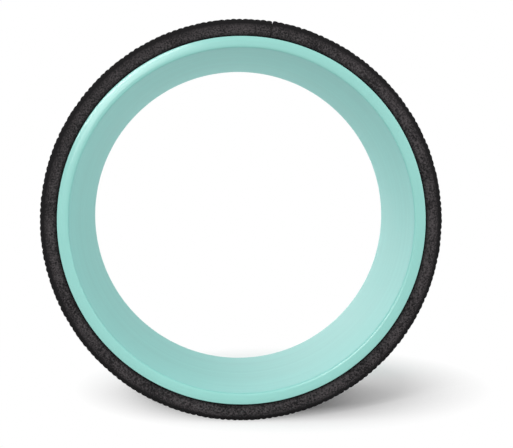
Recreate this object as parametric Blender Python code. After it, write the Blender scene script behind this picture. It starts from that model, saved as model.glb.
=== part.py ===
"""Back roller wheel: a rigid hoop with a thick foam pad wrapped round it.

The wheel stands on its tread. Its centre is the origin, its rolling axis lies along Y, and its
front rim faces -Y. Every piece is a profile in the plane of the axis, turned about that axis.
A profile is a list of points (y, r): y along the axis, r the distance from it.
"""

import math

import bmesh
import bpy
from mathutils import Matrix, Vector

# Driving dimensions, in metres
BORE_DIAMETER = 0.259
CORE_WALL = 0.0084
CORE_WIDTH = 0.127
BORE_EDGE_RADIUS = 0.0015
RIM_EDGE_RADIUS = 0.0012

ADHESIVE_THICKNESS = 0.0004
ADHESIVE_SETBACK = 0.0030
SEAM_GLUE_THICKNESS = 0.0003
SEAM_GLUE_RECESS = 0.0015

FOAM_THICKNESS = 0.0136
RIM_REVEAL = 0.0030
HEEL_RADIUS = 0.0022
SHOULDER_RADIUS = 0.0090
CANAL_WIDTH = 0.040
CANAL_FLOOR_WIDTH = 0.016
FOAM_UNDER_CANAL = 0.0043
FLOOR_PRESS = 0.0005

# Clearance between pieces that touch
FIT_GAP = 0.0003

# Least level stretch left beside a rounded edge
LEAST_LAND = 0.0005

# Angle of the pad's butt seam, clockwise from the top as seen from the front
SEAM_ANGLE = math.radians(8.5)

# How finely the round shapes are divided
TURN_STEPS = 96
CORE_ARC_STEPS = 4
HEEL_STEPS = 3
SHOULDER_STEPS = 6
CANAL_STEPS = 7
SMOOTH_UP_TO = math.radians(35)

# Sizes that follow from the driving dimensions
BORE_RADIUS = BORE_DIAMETER / 2
CORE_RADIUS = BORE_RADIUS + CORE_WALL
ADHESIVE_RADIUS = CORE_RADIUS + FIT_GAP
FOAM_INNER_RADIUS = ADHESIVE_RADIUS + ADHESIVE_THICKNESS + FIT_GAP
TREAD_RADIUS = FOAM_INNER_RADIUS + FOAM_THICKNESS
FOAM_HALF_WIDTH = CORE_WIDTH / 2 - RIM_REVEAL
SEAM_WIDTH = SEAM_GLUE_THICKNESS + 2 * FIT_GAP

Y_AXIS = Vector((0, 1, 0))
FULL_TURN = 2 * math.pi


def clear_scene():
    for thing in list(bpy.data.objects):
        bpy.data.objects.remove(thing, do_unlink=True)


def plain_material(name, colour, roughness):
    material = bpy.data.materials.new(name)
    material.use_nodes = True
    shader = material.node_tree.nodes["Principled BSDF"]
    shader.inputs["Base Color"].default_value = (*colour, 1)
    shader.inputs["Roughness"].default_value = roughness
    shader.inputs["Metallic"].default_value = 0
    material.diffuse_color = (*colour, 1)
    return material


def arc(centre, radius, start, end, steps):
    """Points on an arc, with its angles in degrees from the +y direction towards +r."""
    angles = [math.radians(start + (end - start) * i / steps) for i in range(steps + 1)]
    return [(centre[0] + radius * math.cos(a), centre[1] + radius * math.sin(a)) for a in angles]


def mirrored(half):
    """A whole profile from its +y half, which runs from the inner middle to the outer middle."""
    return half + [(-y, r) for y, r in reversed(half) if y > 0]


def core_profile():
    """The hoop's wall: level end faces, and rounded edges at the bore and at the pad."""
    end = CORE_WIDTH / 2
    bore_edge = min(BORE_EDGE_RADIUS, (CORE_WALL - LEAST_LAND) / 2)
    rim_edge = min(RIM_EDGE_RADIUS, (CORE_WALL - LEAST_LAND) / 2)
    half = arc(
        (end - bore_edge, BORE_RADIUS + bore_edge), bore_edge, -90, 0, CORE_ARC_STEPS
    )
    half += arc((end - rim_edge, CORE_RADIUS - rim_edge), rim_edge, 0, 90, CORE_ARC_STEPS)
    return mirrored(half)


def canal_radius(y, floor, tread):
    """The canal's bed: a level floor between two walls that rise as half a cosine wave."""
    across = (abs(y) - CANAL_FLOOR_WIDTH / 2) / ((CANAL_WIDTH - CANAL_FLOOR_WIDTH) / 2)
    rise = (1 - math.cos(math.pi * min(max(across, 0), 1))) / 2
    return floor + (tread - floor) * rise


def pad_profile(inset):
    """The pad's cross-section, with its edges, tread and canal drawn in by inset."""
    end = FOAM_HALF_WIDTH - inset
    inner = FOAM_INNER_RADIUS + inset
    tread = TREAD_RADIUS - inset
    floor = FOAM_INNER_RADIUS + FOAM_UNDER_CANAL - inset
    heel = min(HEEL_RADIUS, (tread - inner) / 3)
    shoulder = min(SHOULDER_RADIUS, tread - inner - heel - LEAST_LAND)
    shoulder = min(shoulder, end - CANAL_WIDTH / 2 - LEAST_LAND)
    half = arc((end - heel, inner + heel), heel, -90, 0, HEEL_STEPS)
    half += arc((end - shoulder, tread - shoulder), shoulder, 0, 90, SHOULDER_STEPS)
    wall = (CANAL_WIDTH - CANAL_FLOOR_WIDTH) / 2
    for i in range(CANAL_STEPS + 1):
        y = CANAL_WIDTH / 2 - wall * i / CANAL_STEPS
        half.append((y, canal_radius(y, floor, tread)))
    return mirrored(half)


def film_profile():
    """The bonded band under the pad, which ends a little short of the pad's edges."""
    end = FOAM_HALF_WIDTH - ADHESIVE_SETBACK
    outer = ADHESIVE_RADIUS + ADHESIVE_THICKNESS
    return mirrored([(end, ADHESIVE_RADIUS), (end, outer)])


def turned(name, profile, material, start, sweep):
    """A solid made by turning a profile about the rolling axis, clockwise from start."""
    shape = bmesh.new()
    corners = [shape.verts.new((0, y, r)) for y, r in profile]
    section = shape.faces.new(corners)
    bmesh.ops.rotate(
        shape, verts=corners, cent=(0, 0, 0), matrix=Matrix.Rotation(start, 3, Y_AXIS)
    )
    closed = sweep == FULL_TURN
    moving = list(section.edges) if closed else [section]
    if closed:
        shape.faces.remove(section)
    steps = max(1, round(TURN_STEPS * sweep / FULL_TURN))
    bmesh.ops.spin(
        shape,
        geom=moving,
        cent=(0, 0, 0),
        axis=Y_AXIS,
        angle=sweep,
        steps=steps,
        use_merge=closed,
    )
    bmesh.ops.recalc_face_normals(shape, faces=shape.faces)
    mesh = bpy.data.meshes.new(name)
    shape.to_mesh(mesh)
    shape.free()
    mesh.shade_smooth()
    mesh.set_sharp_from_angle(angle=SMOOTH_UP_TO)
    mesh.materials.append(material)
    thing = bpy.data.objects.new(name, mesh)
    bpy.context.scene.collection.objects.link(thing)
    return thing


def press_on_floor(thing, depth):
    """Cut the tread level where the standing wheel presses it on the floor."""
    shape = bmesh.new()
    shape.from_mesh(thing.data)
    cut = bmesh.ops.bisect_plane(
        shape,
        geom=shape.verts[:] + shape.edges[:] + shape.faces[:],
        plane_co=(0, 0, depth - TREAD_RADIUS),
        plane_no=(0, 0, 1),
        clear_inner=True,
    )
    outline = [part for part in cut["geom_cut"] if isinstance(part, bmesh.types.BMEdge)]
    bmesh.ops.holes_fill(shape, edges=outline)
    bmesh.ops.recalc_face_normals(shape, faces=shape.faces)
    shape.to_mesh(thing.data)
    shape.free()


def make_core_ring():
    mint = plain_material("mint_plastic", (0.29, 0.66, 0.59), 0.35)
    return turned("core_ring", core_profile(), mint, SEAM_ANGLE, FULL_TURN)


def make_adhesive_film():
    amber = plain_material("contact_adhesive", (0.42, 0.33, 0.16), 0.5)
    return turned("adhesive_film", film_profile(), amber, SEAM_ANGLE, FULL_TURN)


def make_foam_pad():
    black = plain_material("black_foam", (0.025, 0.025, 0.026), 0.8)
    slit = SEAM_WIDTH / FOAM_INNER_RADIUS
    pad = turned(
        "foam_pad", pad_profile(0), black, SEAM_ANGLE + slit / 2, FULL_TURN - slit
    )
    press_on_floor(pad, FLOOR_PRESS)
    return pad


def make_seam_glue():
    dark = plain_material("seam_glue", (0.035, 0.030, 0.022), 0.5)
    bead = SEAM_GLUE_THICKNESS / FOAM_INNER_RADIUS
    return turned(
        "seam_glue", pad_profile(SEAM_GLUE_RECESS), dark, SEAM_ANGLE - bead / 2, bead
    )


def main():
    clear_scene()
    make_core_ring()
    make_adhesive_film()
    make_foam_pad()
    make_seam_glue()


main()
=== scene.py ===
"""The looks of the back roller wheel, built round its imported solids.

The solids give every main size. What is made here is the finer shape: the hoop's soft edges and
sloping end faces, and the pad's ribs, its foot on the hoop and its two rounded ends. After that
come the finish of every surface, the floor, the light and the camera. Lengths are in metres. A
section is a closed outline of points (y, r), with y along the rolling axis and r away from it.
Angles round the wheel run clockwise from its top, as seen from the front, which faces -Y.
"""

import math

import bmesh
import bpy
import numpy as np
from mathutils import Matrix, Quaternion, Vector


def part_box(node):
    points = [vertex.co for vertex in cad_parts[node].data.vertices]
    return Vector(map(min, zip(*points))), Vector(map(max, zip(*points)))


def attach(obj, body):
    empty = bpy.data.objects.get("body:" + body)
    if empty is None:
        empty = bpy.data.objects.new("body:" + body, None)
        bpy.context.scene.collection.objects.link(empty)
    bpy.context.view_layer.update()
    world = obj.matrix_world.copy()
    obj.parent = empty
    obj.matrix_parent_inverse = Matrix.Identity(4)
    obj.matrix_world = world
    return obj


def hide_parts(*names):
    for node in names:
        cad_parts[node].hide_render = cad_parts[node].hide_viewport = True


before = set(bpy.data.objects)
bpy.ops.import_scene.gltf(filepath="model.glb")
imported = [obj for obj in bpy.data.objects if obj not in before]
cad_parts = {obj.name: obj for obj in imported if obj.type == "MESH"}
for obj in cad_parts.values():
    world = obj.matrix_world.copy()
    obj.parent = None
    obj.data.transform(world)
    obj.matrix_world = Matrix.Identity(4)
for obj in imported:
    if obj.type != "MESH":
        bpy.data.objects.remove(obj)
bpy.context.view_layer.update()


def spread(name):
    """A CAD node's least and greatest distance from the rolling axis, and its half width."""
    points = np.array([v.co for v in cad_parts[name].data.vertices])
    radii = np.hypot(points[:, 0], points[:, 2])
    return radii.min(), radii.max(), abs(points[:, 1]).max()


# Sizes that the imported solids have
BORE_RADIUS, CORE_RADIUS, CORE_HALF_WIDTH = spread("core_ring")
FOAM_INNER_RADIUS, TREAD_RADIUS, FOAM_HALF_WIDTH = spread("foam_pad")
FLOOR_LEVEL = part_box("foam_pad")[0].z
GLUE_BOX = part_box("seam_glue")
SEAM_CENTRE = (GLUE_BOX[0] + GLUE_BOX[1]) / 2
SEAM_ANGLE = math.atan2(SEAM_CENTRE.x, SEAM_CENTRE.z)

# Sizes of the solids that are repeated here
HEEL = 0.0022
SHOULDER = 0.0090
CANAL_WIDTH = 0.040
CANAL_FLOOR_WIDTH = 0.016
CANAL_WALL = (CANAL_WIDTH - CANAL_FLOOR_WIDTH) / 2
FOAM_UNDER_CANAL = 0.0043

# The hoop's inner edge: how much of the end face and of the bore its rounding takes
BORE_EDGE = 0.0022
BORE_EDGE_DEPTH = 0.0011

# The hoop's end faces: how far they fall from their middle to both sides, the share of the way
# to the pad on which they bend over before they slope evenly, and the radius of the outer edge
RIM_FALL_TO_BORE = 0.00014
RIM_FALL_TO_PAD = 0.00068
RIM_BEND = 0.5
RIM_EDGE = 0.0007

# How far the pad's own axis lies off the hoop's
PAD_RIGHT = 0.00019
PAD_DOWN = 0.00028

# The ribs: their number, how far they stand above the solid's tread, how deep the notches between
# them are and how unlike each other, how much lower than the tallest a rib may be, where on the
# shoulder and down the canal's wall they end, and the seed of their differences
RIB_COUNT = 210
RIB_RISE = 0.00050
RIB_DEPTH = 0.00062
RIB_VARIATION = 0.40
RIB_LOWERING = 0.00025
RIB_FADE_START = math.radians(30)
RIB_FADE_END = math.radians(60)
RIB_FADE_IN_CANAL = 0.35
RIB_SEED = 11

# The pad's two ends at the seam: the slit between them, the rounding of each, and how far the
# right one stands proud and over what length that dies away
SEAM_WIDTH = 0.0004
END_ROUNDING = 0.0008
END_JOG = 0.0003
END_JOG_REACH = 0.012

# Slow lumps in the foam, never above its surface. Each wave has its turns round the wheel, its
# turns round the section and its phase
LUMP_DEPTH = 0.00012
LUMP_WAVES = ((5, 2, 0), (13, -3, 1))

# The pad's foot, which closes on the hoop: how far in it reaches, and what it leaves open
FOOT_DEPTH = 0.0028
FOOT_GAP = 0.00012

# How finely the shapes are divided
HOOP_STEPS = 360
HOOP_EDGE_STEPS = 8
RIM_FACE_STEPS = 12
BORE_STEPS = 12
RIB_STEPS = 6
HEEL_STEPS = 6
SHOULDER_STEPS = 14
PAD_STEPS = 5
CANAL_WALL_STEPS = 8
FLOOR_STEPS = 4
CREASE_ANGLE = math.radians(38)

# The sections at the pad's ends: where they lie across the rounding, as shares of it, and where
# the ribs' regular ones begin, as a multiple of the turn at which the rounding is over
END_SHARES = (0, 0.08, 0.25, 0.55, 1)
END_CLEARANCE = 1.1

# The camera: where it stands, and how far it is turned to the right and tipped down
CAMERA_PLACE = (-0.0165, -0.6470, 0.0260)
CAMERA_TURN = math.radians(2.588)
CAMERA_TIP = math.radians(2.678)
CAMERA_LENS_MM = 54.95
SENSOR_MM = 36.0

# The lamps: a soft sun high on the left, softboxes in front, behind and on the right, and a
# narrow strip high on the left. Each stands in its direction from the wheel's centre
KEY_FROM = (-0.52, -0.16, 0.84)
KEY_STRENGTH = 0.25
KEY_SPREAD = math.radians(22)
FRONT_BOX_FROM = (-0.26, -0.93, 0.26)
FRONT_BOX_SIDE = 0.55
FRONT_BOX_WATTS = 4.0
BACK_BOX_FROM = (-0.15, 0.97, 0.13)
BACK_BOX_SIDE = 0.6
BACK_BOX_WATTS = 3.3
SIDE_BOX_FROM = (0.90, -0.35, 0.26)
SIDE_BOX_SIDE = 1.0
SIDE_BOX_WATTS = 4.0
STRIP_FROM = (-0.40, -0.79, 0.45)
STRIP_LENGTH = 0.90
STRIP_WIDTH = 0.08
STRIP_ROLL = math.radians(41)
STRIP_WATTS = 3.8
LAMP_DISTANCE = 1.6

# How strongly the white room lights the wheel, as a share of how it looks
ROOM_FILL = 0.69

# The floor: its size, how white it looks, how much light it sends on to the wheel in front and
# behind, and where along Y that changes
FLOOR_SIZE = 12.0
FLOOR_SEEN = 0.99
FLOOR_BOUNCE_IN_FRONT = 0.48
FLOOR_BOUNCE_BEHIND = 1.0
FLOOR_BOUNCE_SPAN = (-0.15, -0.02)

# Round the wheel the floor keeps its shadow, and over this span of distances it turns fully
# white. They are measured from the centre, after each direction is stretched by the shape
FLOOR_FADE_CENTRE = (0.04, 0.065, 0.0)
FLOOR_FADE_SHAPE = (3.3, 4.0, 1.0)
FLOOR_FADE_SPAN = (0.36, 0.62)

# The plastic's colours, in the bore and on the rim, and how far into the wall the bore's look goes
# over into the rim's. The bore's colours are darker than the rim's, as painted shade inside the
# hoop. The tone between dark and light comes from clouds and streaks
SHADED_BORE_COLOURS = ((0.228, 0.622, 0.584), (0.262, 0.672, 0.630))
RIM_COLOURS = ((0.292, 0.680, 0.616), (0.330, 0.732, 0.666))
RIM_LOOK_REACH = 0.0003
PLASTIC_TONE_SPAN = (0.35, 0.65)
PLASTIC_CLOUD_SHARE = 0.35

# The plastic's gloss, and how much its clouds and streaks dull it, with their mean taken off
BORE_ROUGHNESS = 0.52
RIM_ROUGHNESS = 0.19
CLOUD_WEAR = 0.06
STREAK_WEAR = 0.10
MEAN_WEAR = (CLOUD_WEAR + STREAK_WEAR) / 2
PLASTIC_IOR = 1.5
PLASTIC_SHEEN = 0.75

# The plastic's textures: how fine they are, how deep the turning marks and the orange peel are,
# and the radius of the circle that the bands are read on
CLOUD_SCALE = 14.0
STREAK_SCALE = 150.0
MARK_SCALE = 520.0
PEEL_SCALE = 420.0
MARK_DEPTH = 0.00003
PEEL_DEPTH = 0.00002
BAND_RADIUS = 0.004

# The foam's colours: its open cells, the dust on its side faces, the ribs' crests, painted paler so
# that the notches, canal and shoulder below them look shaded, with their span of heights about the
# solid's tread, and the painted shade in the groove along the hoop, with its reach
FOAM_COLOUR = (0.015, 0.0144, 0.015)
DUST_COLOUR = (0.086, 0.0765, 0.0795)
CREST_PAINTED_LIGHT_COLOUR = (0.046, 0.044, 0.045)
CREST_PAINTED_LIGHT_SPAN = (-0.0002, 0.0005)
GROOVE_SHADE_COLOUR = (0.004, 0.004, 0.004)
GROOVE_SHADE_REACH = 0.0036

# How far in from its widest the foam has the look of its side faces, how the tone of grain and
# patches turns into dust there, and the foam's gloss. The dust stops short of the heel by the hoop
# and of the outer shoulder, which stay black as painted shade.
FOAM_SIDE_DEPTH = 0.0017
FOAM_GRAIN_SHARE = 0.8
DUST_TONE_SPAN = (0.40, 0.62)
DUST_AMOUNTS = (-0.15, 1.2)
TREAD_ROUGHNESS = 1.0
SIDE_ROUGHNESS = 0.42
GRAIN_GLOSS = 0.08
FOAM_IOR = 1.5
FOAM_SHEEN = 0.03

# The foam's textures: how fine they are, and how deep
GRAIN_SCALE = 800.0
PATCH_SCALE = 60.0
CELL_SCALE = 1300.0
GRAIN_DEPTH = 0.00020
CELL_DEPTH = 0.00010

# The dried glue: the colours of the film and of the bead, dark and light, and its uneven runs
FILM_COLOURS = ((0.30, 0.22, 0.09), (0.48, 0.38, 0.20))
BEAD_COLOURS = ((0.020, 0.017, 0.012), (0.050, 0.042, 0.030))
GLUE_SCALE = 160.0
GLUE_DEPTH = 0.0002
GLUE_TONE_SPAN = (0.35, 0.65)
GLUE_GLOSS_SPAN = (0.3, 0.7)
GLUE_ROUGHNESS = (0.30, 0.55)
GLUE_IOR = 1.48

WHITE = (1, 1, 1, 1)
FULL_TURN = 2 * math.pi


def smooth(x):
    """A soft step from 0 to 1."""
    x = np.clip(x, 0, 1)
    return x * x * (3 - 2 * x)


def arc(centre, radius, start, end, steps):
    """Points on an arc, with its angles in degrees from the +y direction towards +r."""
    angles = np.radians(np.linspace(start, end, steps + 1))
    return [(centre[0] + radius * math.cos(a), centre[1] + radius * math.sin(a)) for a in angles]


def between(start, end, steps):
    """The points that divide the straight way from start to end, without its two ends."""
    shares = [i / steps for i in range(1, steps)]
    return [(start[0] + (end[0] - start[0]) * t, start[1] + (end[1] - start[1]) * t) for t in shares]


def mirrored(half):
    """A whole section from its +y half, which runs from the inner middle to the outer middle."""
    return np.array(half + [(-y, r) for y, r in reversed(half) if y > 0])


def outward(section):
    """The unit normals of a section that runs anticlockwise in the plane of y and r."""
    along = np.roll(section, -1, axis=0) - np.roll(section, 1, axis=0)
    normals = np.stack([along[:, 1], -along[:, 0]], axis=1)
    return normals / np.linalg.norm(normals, axis=1, keepdims=True)


def lofted(name, sections, angles, closed):
    """A mesh through one section at each angle round the wheel, capped at both ends if open.

    Where it would reach below the floor, it is pressed level on it.
    """
    count, size = sections.shape[:2]
    y, r = sections[..., 0], sections[..., 1]
    turn = angles[:, None]
    points = np.stack([r * np.sin(turn), y, r * np.cos(turn)], axis=2)
    points[..., 2] = np.maximum(points[..., 2], FLOOR_LEVEL)
    faces = []
    for i in range(count if closed else count - 1):
        here, there = i * size, (i + 1) % count * size
        for j in range(size):
            k = (j + 1) % size
            faces.append((here + j, here + k, there + k, there + j))
    if not closed:
        faces.append(list(range(size)))
        faces.append(list(range((count - 1) * size, count * size)))
    mesh = bpy.data.meshes.new(name)
    mesh.from_pydata(points.reshape(-1, 3).tolist(), [], faces)
    shape = bmesh.new()
    shape.from_mesh(mesh)
    bmesh.ops.recalc_face_normals(shape, faces=shape.faces)
    shape.to_mesh(mesh)
    shape.free()
    mesh.shade_smooth()
    mesh.set_sharp_from_angle(angle=CREASE_ANGLE)
    thing = bpy.data.objects.new(name, mesh)
    bpy.context.scene.collection.objects.link(thing)
    return thing


def end_face_drop(radii):
    """How far the hoop's end face lies below its middle at each distance from the axis.

    Towards the bore it falls as a parabola. Towards the pad it bends over, then slopes evenly.
    """
    middle = (BORE_RADIUS + CORE_RADIUS) / 2
    across = (radii - middle) / (CORE_RADIUS - middle)
    curved = across**2 / (2 * RIM_BEND)
    straight = across - RIM_BEND / 2
    to_pad = np.where(across < RIM_BEND, curved, straight) / (1 - RIM_BEND / 2)
    return np.where(across > 0, RIM_FALL_TO_PAD * to_pad, RIM_FALL_TO_BORE * across**2)


def hoop_section():
    """The hoop's wall, with soft edges and end faces that fall away a little to both sides."""
    end = CORE_HALF_WIDTH
    half = [(end / BORE_STEPS * i, BORE_RADIUS) for i in range(1, BORE_STEPS)]
    inner = [
        (end - BORE_EDGE_DEPTH * (1 - y), BORE_RADIUS + BORE_EDGE * (1 + r))
        for y, r in arc((0, 0), 1, -90, 0, HOOP_EDGE_STEPS)
    ]
    outer = arc((end - RIM_EDGE, CORE_RADIUS - RIM_EDGE), RIM_EDGE, 0, 90, HOOP_EDGE_STEPS)
    half += inner + between(inner[-1], outer[0], RIM_FACE_STEPS) + outer
    section = mirrored(half)
    near_end = smooth((abs(section[:, 0]) - (end - 2 * BORE_EDGE)) / BORE_EDGE)
    section[:, 0] -= np.sign(section[:, 0]) * end_face_drop(section[:, 1]) * near_end
    return section


def make_hoop():
    section = hoop_section()
    angles = np.arange(HOOP_STEPS) * FULL_TURN / HOOP_STEPS
    return lofted("moulded_hoop", np.tile(section, (HOOP_STEPS, 1, 1)), angles, closed=True)


def pad_section():
    """The pad's outline: rounded edges, a level tread and the canal between cosine walls."""
    end, inner, tread = FOAM_HALF_WIDTH, FOAM_INNER_RADIUS, TREAD_RADIUS
    floor = inner + FOAM_UNDER_CANAL
    foot = CORE_RADIUS + FOOT_GAP
    half = [(end - FOOT_DEPTH, inner), (end - FOOT_DEPTH, foot)]
    half += arc((end - HEEL, foot + HEEL), HEEL, -90, 0, HEEL_STEPS)
    half += arc((end - SHOULDER, tread - SHOULDER), SHOULDER, 0, 90, SHOULDER_STEPS)
    half += between((end - SHOULDER, tread), (CANAL_WIDTH / 2, tread), PAD_STEPS)
    for i in range(CANAL_WALL_STEPS + 1):
        across = i / CANAL_WALL_STEPS
        rise = (1 + math.cos(math.pi * across)) / 2
        half.append((CANAL_WIDTH / 2 - CANAL_WALL * across, floor + (tread - floor) * rise))
    return mirrored(half)


def rib_strength(section):
    """How much of the ribs' depth each point has: none on the sides, all on the tread."""
    y, r = abs(section[:, 0]), section[:, 1]
    round_shoulder = np.arctan2(r - (TREAD_RADIUS - SHOULDER), y - (FOAM_HALF_WIDTH - SHOULDER))
    on_shoulder = smooth((round_shoulder - RIB_FADE_START) / (RIB_FADE_END - RIB_FADE_START))
    down_wall = (CANAL_WIDTH / 2 - y) / CANAL_WALL
    on_wall = 1 - smooth(down_wall / RIB_FADE_IN_CANAL)
    outside = r > FOAM_INNER_RADIUS + HEEL
    return np.where(y > FOAM_HALF_WIDTH - SHOULDER, on_shoulder, on_wall) * outside


def rib_drop(turns):
    """How far the tread lies below the tallest crest at each turn from the seam.

    Each rib is a rounded lobe between two sharp notches, and no two are quite alike.
    """
    rng = np.random.default_rng(RIB_SEED)
    notches = RIB_DEPTH * rng.uniform(1 - RIB_VARIATION, 1 + RIB_VARIATION, RIB_COUNT + 1)
    crests = RIB_LOWERING * rng.uniform(0, 1, RIB_COUNT)
    along = turns / FULL_TURN * RIB_COUNT
    rib = np.minimum(along.astype(int), RIB_COUNT - 1)
    across = along - rib
    notch = notches[rib] * (1 - across) + notches[rib + 1] * across
    lobe = np.sin(math.pi * across)
    return notch * (1 - lobe) + crests[rib] * lobe


def pad_turns(half_slit):
    """The turns from the seam at which the pad has a section, closer together at its ends."""
    near_end = half_slit + END_ROUNDING / TREAD_RADIUS * np.array(END_SHARES)
    regular = np.arange(1, RIB_COUNT * RIB_STEPS) * FULL_TURN / (RIB_COUNT * RIB_STEPS)
    least = near_end[-1] * END_CLEARANCE
    regular = regular[(regular > least) & (regular < FULL_TURN - least)]
    return np.concatenate([near_end, regular, FULL_TURN - near_end[::-1]])


def end_rise(turns, half_slit):
    """How far the foam rises near the seam: both ends are rounded, and the right one is proud."""
    from_end = (np.minimum(turns, FULL_TURN - turns) - half_slit) * TREAD_RADIUS
    short = np.clip(END_ROUNDING - from_end, 0, END_ROUNDING)
    rounded = END_ROUNDING - np.sqrt(END_ROUNDING**2 - short**2)
    return END_JOG * np.exp(-turns * TREAD_RADIUS / END_JOG_REACH) - rounded


def lump_rise(turns, size):
    """How far the slow lumps move the foam's surface, at each turn and point of a section."""
    around = turns[:, None]
    across = np.arange(size) / size * FULL_TURN
    waves = [np.sin(i * around + j * across + phase) for i, j, phase in LUMP_WAVES]
    return LUMP_DEPTH * (sum(waves) / (2 * len(waves)) - 0.5)


def make_pad():
    """The foam pad: a ribbed strip bent round the hoop, with its two rounded ends butted."""
    section = pad_section()
    exposed = smooth((section[:, 1] - FOAM_INNER_RADIUS) / HEEL)
    half_slit = SEAM_WIDTH / FOAM_INNER_RADIUS / 2
    turns = pad_turns(half_slit)
    angles = SEAM_ANGLE + turns
    shift = PAD_RIGHT * np.sin(angles) - PAD_DOWN * np.cos(angles)
    ribs = (RIB_RISE - rib_drop(turns))[:, None] * rib_strength(section)
    whole = (shift + end_rise(turns, half_slit))[:, None] + lump_rise(turns, len(section))
    offset = ribs + whole * exposed
    sections = section + offset[..., None] * outward(section)
    return lofted("ribbed_foam_pad", sections, angles, closed=False)


def new_node(tree, kind, links=None, values=None, **settings):
    """A shader node with its settings, what is linked to its inputs, and their plain values."""
    made = tree.nodes.new(kind)
    for name, setting in settings.items():
        setattr(made, name, setting)
    for name, socket in (links or {}).items():
        tree.links.new(socket, made.inputs[name])
    for name, value in (values or {}).items():
        made.inputs[name].default_value = value
    return made


def blank_material(name):
    """A material with an empty node tree and its output."""
    material = bpy.data.materials.new(name)
    material.use_nodes = True
    tree = material.node_tree
    tree.nodes.clear()
    return material, tree, tree.nodes.new("ShaderNodeOutputMaterial")


def place(tree):
    """Where the shaded point is, along the axes of its own object."""
    return new_node(tree, "ShaderNodeTexCoord").outputs["Object"]


def split(tree, vector):
    """A vector's x, y and z."""
    return new_node(tree, "ShaderNodeSeparateXYZ", {"Vector": vector}).outputs


def fill_input(tree, socket, value):
    """Link an input to another node's socket, or else give it a plain number or colour."""
    if isinstance(value, bpy.types.NodeSocket):
        tree.links.new(value, socket)
    elif isinstance(value, tuple):
        socket.default_value = (*value, 1)
    else:
        socket.default_value = value


def maths(tree, operation, *values):
    """An operation on numbers, each a socket or a plain value."""
    made = new_node(tree, "ShaderNodeMath", operation=operation)
    for socket, value in zip(made.inputs, values):
        fill_input(tree, socket, value)
    return made.outputs[0]


def weighed(tree, first, second):
    """The sum of two numbers, each given with its weight."""
    parts = [maths(tree, "MULTIPLY", value, weight) for value, weight in (first, second)]
    return maths(tree, "ADD", *parts)


def vector_maths(tree, operation, vector, other=None):
    """An operation on a vector, with a plain second one where it needs it."""
    values = {} if other is None else {1: other}
    made = new_node(tree, "ShaderNodeVectorMath", {0: vector}, values, operation=operation)
    return made.outputs["Value" if operation == "LENGTH" else "Vector"]


def spanned(tree, value, span, results):
    """A number that goes from the first result to the second as a value crosses a span."""
    made = new_node(
        tree,
        "ShaderNodeMapRange",
        {"Value": value},
        {"From Min": span[0], "From Max": span[1], "To Min": results[0], "To Max": results[1]},
    )
    return made.outputs["Result"]


def graded(tree, value, span, colours):
    """A colour that goes from the first to the second as a value crosses a span."""
    made = new_node(tree, "ShaderNodeValToRGB", {"Fac": value})
    for element, position, colour in zip(made.color_ramp.elements, span, colours):
        element.position = position
        element.color = (*colour, 1)
    return made.outputs["Color"]


def mixed(tree, factor, first, second):
    """The colour that lies between two, each of them a socket or a plain colour."""
    made = new_node(tree, "ShaderNodeMixRGB", {"Fac": factor})
    fill_input(tree, made.inputs["Color1"], first)
    fill_input(tree, made.inputs["Color2"], second)
    return made.outputs["Color"]


def noise(tree, vector, scale, detail=2, rough=0.5):
    """The level of a cloudy texture at a place, about half in the mean."""
    made = new_node(
        tree,
        "ShaderNodeTexNoise",
        {"Vector": vector},
        {"Scale": scale, "Detail": detail, "Roughness": rough},
    )
    return made.outputs["Fac"]


def bumped(tree, height, depth, under=None):
    """A surface normal that a height tips, on top of another bump if one is given."""
    links = {"Height": height}
    if under is not None:
        links["Normal"] = under
    made = new_node(tree, "ShaderNodeBump", links, {"Distance": depth, "Strength": 1})
    return made.outputs["Normal"]


def from_axis(tree, centre=(0, 0, 0)):
    """Where a point is from a centre, as its x, y and z, and its distance from the axis there."""
    x, y, z = split(tree, vector_maths(tree, "SUBTRACT", place(tree), centre))
    squares = maths(tree, "ADD", maths(tree, "MULTIPLY", x, x), maths(tree, "MULTIPLY", z, z))
    return (x, y, z), maths(tree, "SQRT", squares)


def in_bands(tree, point, radius):
    """A point with its turn round the axis shrunk to a small circle.

    A texture that is read there hardly changes round the wheel, so it runs in bands.
    """
    x, y, z = point
    share = maths(tree, "DIVIDE", BAND_RADIUS, radius)
    x, z = maths(tree, "MULTIPLY", x, share), maths(tree, "MULTIPLY", z, share)
    return new_node(tree, "ShaderNodeCombineXYZ", {"X": x, "Y": y, "Z": z}).outputs["Vector"]


def add_shader(tree, output, looks, values):
    """Give a material its shader, with the looks that vary linked and the others plain."""
    shader = new_node(tree, "ShaderNodeBsdfPrincipled", looks, values)
    tree.links.new(shader.outputs["BSDF"], output.inputs["Surface"])


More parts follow.
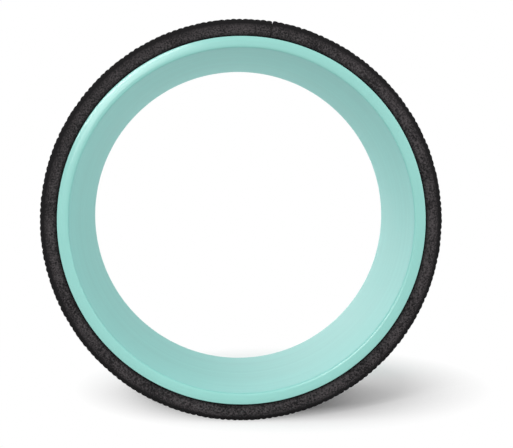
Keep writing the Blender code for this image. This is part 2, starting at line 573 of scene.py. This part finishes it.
def mint_plastic():
    """Moulded plastic, satin in the bore and glossier on the rim, with faint turning marks.

    The bore has darker colours than the rim, as painted shade inside the hoop.
    """
    material, tree, output = blank_material("mint_plastic_satin")
    here = place(tree)
    point, radius = from_axis(tree)
    bands = in_bands(tree, point, radius)
    cloud = noise(tree, here, CLOUD_SCALE, detail=3)
    streaks = noise(tree, bands, STREAK_SCALE, detail=3, rough=0.6)
    marks = noise(tree, bands, MARK_SCALE, detail=3, rough=0.6)
    peel = noise(tree, here, PEEL_SCALE)
    tone = weighed(tree, (cloud, PLASTIC_CLOUD_SHARE), (streaks, 1 - PLASTIC_CLOUD_SHARE))
    # Painted shade: the bore's colours are darker than the rim's.
    shaded_bore_tint = graded(tree, tone, PLASTIC_TONE_SPAN, SHADED_BORE_COLOURS)
    rim_tint = graded(tree, tone, PLASTIC_TONE_SPAN, RIM_COLOURS)
    on_rim = spanned(tree, radius, (BORE_RADIUS, BORE_RADIUS + RIM_LOOK_REACH), (0, 1))
    satin = spanned(tree, on_rim, (0, 1), (BORE_ROUGHNESS, RIM_ROUGHNESS))
    wear = weighed(tree, (cloud, CLOUD_WEAR), (streaks, STREAK_WEAR))
    looks = {
        "Base Color": mixed(tree, on_rim, shaded_bore_tint, rim_tint),
        "Roughness": maths(tree, "ADD", satin, maths(tree, "SUBTRACT", wear, MEAN_WEAR)),
        "Normal": bumped(tree, marks, MARK_DEPTH, under=bumped(tree, peel, PEEL_DEPTH)),
    }
    add_shader(tree, output, looks, {"IOR": PLASTIC_IOR, "Specular IOR Level": PLASTIC_SHEEN})
    return material


def black_foam():
    """Closed-cell foam: a black tread of open cells, and dusty side faces.

    Painted shade: the crests are painted paler, so that the notches, canal and shoulder look shaded,
    the dust leaves the heel and the outer shoulder black, and the groove along the hoop is painted
    dark.
    """
    material, tree, output = blank_material("black_foam_skin")
    here = place(tree)
    grain = noise(tree, here, GRAIN_SCALE, detail=3, rough=0.7)
    patches = noise(tree, here, PATCH_SCALE, detail=3)
    cells = new_node(
        tree, "ShaderNodeTexVoronoi", {"Vector": here}, {"Scale": CELL_SCALE, "Randomness": 1}
    ).outputs["Distance"]
    (_, y, _), radius = from_axis(tree)
    _, pad_radius = from_axis(tree, (PAD_RIGHT, 0, -PAD_DOWN))
    side_span = (FOAM_HALF_WIDTH - FOAM_SIDE_DEPTH, FOAM_HALF_WIDTH)
    painted_crest_light_span = [TREAD_RADIUS + height for height in CREST_PAINTED_LIGHT_SPAN]
    on_side = spanned(tree, maths(tree, "ABSOLUTE", y), side_span, (0, 1))
    # Painted light and shade: the crests are paler, so the notches, canal and shoulder below them
    # look shaded.
    on_painted_crest_light = spanned(tree, pad_radius, painted_crest_light_span, (0, 1))
    # Painted shade: close along the hoop the foam darkens to the groove's colour, in the crevice
    # between pad and hoop.
    out_of_groove_shade = spanned(tree, radius, (CORE_RADIUS, CORE_RADIUS + GROOVE_SHADE_REACH), (0, 1))
    tone = weighed(tree, (grain, FOAM_GRAIN_SHARE), (patches, 1 - FOAM_GRAIN_SHARE))
    # Dust lies only on the flat of the side faces; the black it leaves in the heel by the hoop and
    # on the outer shoulder is painted shade.
    dust = maths(tree, "MULTIPLY", spanned(tree, tone, DUST_TONE_SPAN, DUST_AMOUNTS), on_side)
    skin = graded(tree, dust, (0, 1), (FOAM_COLOUR, DUST_COLOUR))
    outside = mixed(tree, on_painted_crest_light, skin, CREST_PAINTED_LIGHT_COLOUR)
    dull = spanned(tree, on_side, (0, 1), (TREAD_ROUGHNESS, SIDE_ROUGHNESS))
    looks = {
        "Base Color": mixed(tree, out_of_groove_shade, GROOVE_SHADE_COLOUR, outside),
        "Roughness": maths(tree, "SUBTRACT", dull, maths(tree, "MULTIPLY", grain, GRAIN_GLOSS)),
        "Normal": bumped(tree, grain, GRAIN_DEPTH, under=bumped(tree, cells, CELL_DEPTH)),
    }
    add_shader(tree, output, looks, {"IOR": FOAM_IOR, "Specular IOR Level": FOAM_SHEEN})
    return material


def dried_glue(name, colours):
    """A set film of contact adhesive, uneven and a little glossy."""
    material, tree, output = blank_material(name)
    runs = noise(tree, place(tree), GLUE_SCALE, detail=4, rough=0.6)
    looks = {
        "Base Color": graded(tree, runs, GLUE_TONE_SPAN, colours),
        "Roughness": spanned(tree, runs, GLUE_GLOSS_SPAN, GLUE_ROUGHNESS),
        "Normal": bumped(tree, runs, GLUE_DEPTH),
    }
    add_shader(tree, output, looks, {"IOR": GLUE_IOR})
    return material


def seen_directly(tree):
    """1 for a ray from the camera, a reflection or a view through glass, and otherwise 0."""
    path = new_node(tree, "ShaderNodeLightPath").outputs
    seen = maths(tree, "MAXIMUM", path["Is Camera Ray"], path["Is Glossy Ray"])
    return maths(tree, "MAXIMUM", seen, path["Is Transmission Ray"])


def light_room():
    """A room that looks fully white, and lights the object somewhat less strongly."""
    world = bpy.data.worlds.new("white_room")
    world.use_nodes = True
    tree = world.node_tree
    tree.nodes.clear()
    level = spanned(tree, seen_directly(tree), (0, 1), (ROOM_FILL, 1))
    room = new_node(tree, "ShaderNodeBackground", {"Strength": level}, {"Color": WHITE})
    output = tree.nodes.new("ShaderNodeOutputWorld")
    tree.links.new(room.outputs["Background"], output.inputs["Surface"])
    bpy.context.scene.world = world


def add_lamp(name, kind, direction, strength, roll=0.0):
    """A lamp that stands in a direction from the wheel's centre and shines at it."""
    data = bpy.data.lights.new(name, kind)
    data.energy = strength
    lamp = bpy.data.objects.new(name, data)
    away = Vector(direction).normalized()
    lamp.location = away * LAMP_DISTANCE
    aimed = away.to_track_quat("Z", "Y") @ Quaternion((0, 0, 1), roll)
    lamp.rotation_euler = aimed.to_euler()
    bpy.context.scene.collection.objects.link(lamp)
    return data


def add_lamps():
    key = add_lamp("key", "SUN", KEY_FROM, KEY_STRENGTH)
    key.angle = KEY_SPREAD
    boxes = (
        ("front_softbox", FRONT_BOX_FROM, FRONT_BOX_WATTS, FRONT_BOX_SIDE),
        ("back_softbox", BACK_BOX_FROM, BACK_BOX_WATTS, BACK_BOX_SIDE),
        ("side_softbox", SIDE_BOX_FROM, SIDE_BOX_WATTS, SIDE_BOX_SIDE),
    )
    for name, direction, watts, side in boxes:
        add_lamp(name, "AREA", direction, watts).size = side
    strip = add_lamp("high_strip", "AREA", STRIP_FROM, STRIP_WATTS, STRIP_ROLL)
    strip.shape = "RECTANGLE"
    strip.size = STRIP_LENGTH
    strip.size_y = STRIP_WIDTH


def pale_floor():
    """A plain pale floor that keeps the wheel's shadow and turns fully white further away."""
    material, tree, output = blank_material("pale_floor")
    seen = seen_directly(tree)
    here = place(tree)
    bounces = (FLOOR_BOUNCE_IN_FRONT, FLOOR_BOUNCE_BEHIND)
    bounce = spanned(tree, split(tree, here)["Y"], FLOOR_BOUNCE_SPAN, bounces)
    more = maths(tree, "SUBTRACT", FLOOR_SEEN, bounce)
    level = maths(tree, "ADD", bounce, maths(tree, "MULTIPLY", seen, more))
    pale = new_node(tree, "ShaderNodeBsdfDiffuse", {"Color": level}).outputs["BSDF"]
    white = new_node(tree, "ShaderNodeEmission", values={"Color": WHITE}).outputs["Emission"]
    offset = vector_maths(tree, "SUBTRACT", here, FLOOR_FADE_CENTRE)
    away = vector_maths(tree, "LENGTH", vector_maths(tree, "MULTIPLY", offset, FLOOR_FADE_SHAPE))
    far = maths(tree, "MULTIPLY", spanned(tree, away, FLOOR_FADE_SPAN, (0, 1)), seen)
    shader = new_node(tree, "ShaderNodeMixShader", {"Fac": far, 1: pale, 2: white})
    tree.links.new(shader.outputs["Shader"], output.inputs["Surface"])
    return material


def add_floor():
    shape = bmesh.new()
    bmesh.ops.create_grid(
        shape, x_segments=FLOOR_STEPS, y_segments=FLOOR_STEPS, size=FLOOR_SIZE / 2
    )
    mesh = bpy.data.meshes.new("floor")
    shape.to_mesh(mesh)
    shape.free()
    mesh.materials.append(pale_floor())
    floor = bpy.data.objects.new("floor", mesh)
    floor.location.z = FLOOR_LEVEL
    bpy.context.scene.collection.objects.link(floor)


def add_camera():
    data = bpy.data.cameras.new("camera")
    data.lens = CAMERA_LENS_MM
    data.sensor_width = SENSOR_MM
    camera = bpy.data.objects.new("camera", data)
    camera.location = CAMERA_PLACE
    camera.rotation_euler = (math.pi / 2 - CAMERA_TIP, 0, -CAMERA_TURN)
    bpy.context.scene.collection.objects.link(camera)
    bpy.context.scene.camera = camera


def dress_node(name, material):
    """Give a CAD node that stays in view its finished material."""
    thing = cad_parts[name]
    thing.data.materials.clear()
    thing.data.materials.append(material)


def main():
    hoop = make_hoop()
    hoop.data.materials.append(mint_plastic())
    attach(hoop, "root")
    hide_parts("core_ring")

    pad = make_pad()
    pad.data.materials.append(black_foam())
    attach(pad, "root")
    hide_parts("foam_pad")

    dress_node("adhesive_film", dried_glue("contact_adhesive", FILM_COLOURS))
    dress_node("seam_glue", dried_glue("seam_adhesive", BEAD_COLOURS))

    add_floor()
    light_room()
    add_lamps()
    add_camera()
    bpy.context.scene.view_settings.view_transform = "Standard"


main()
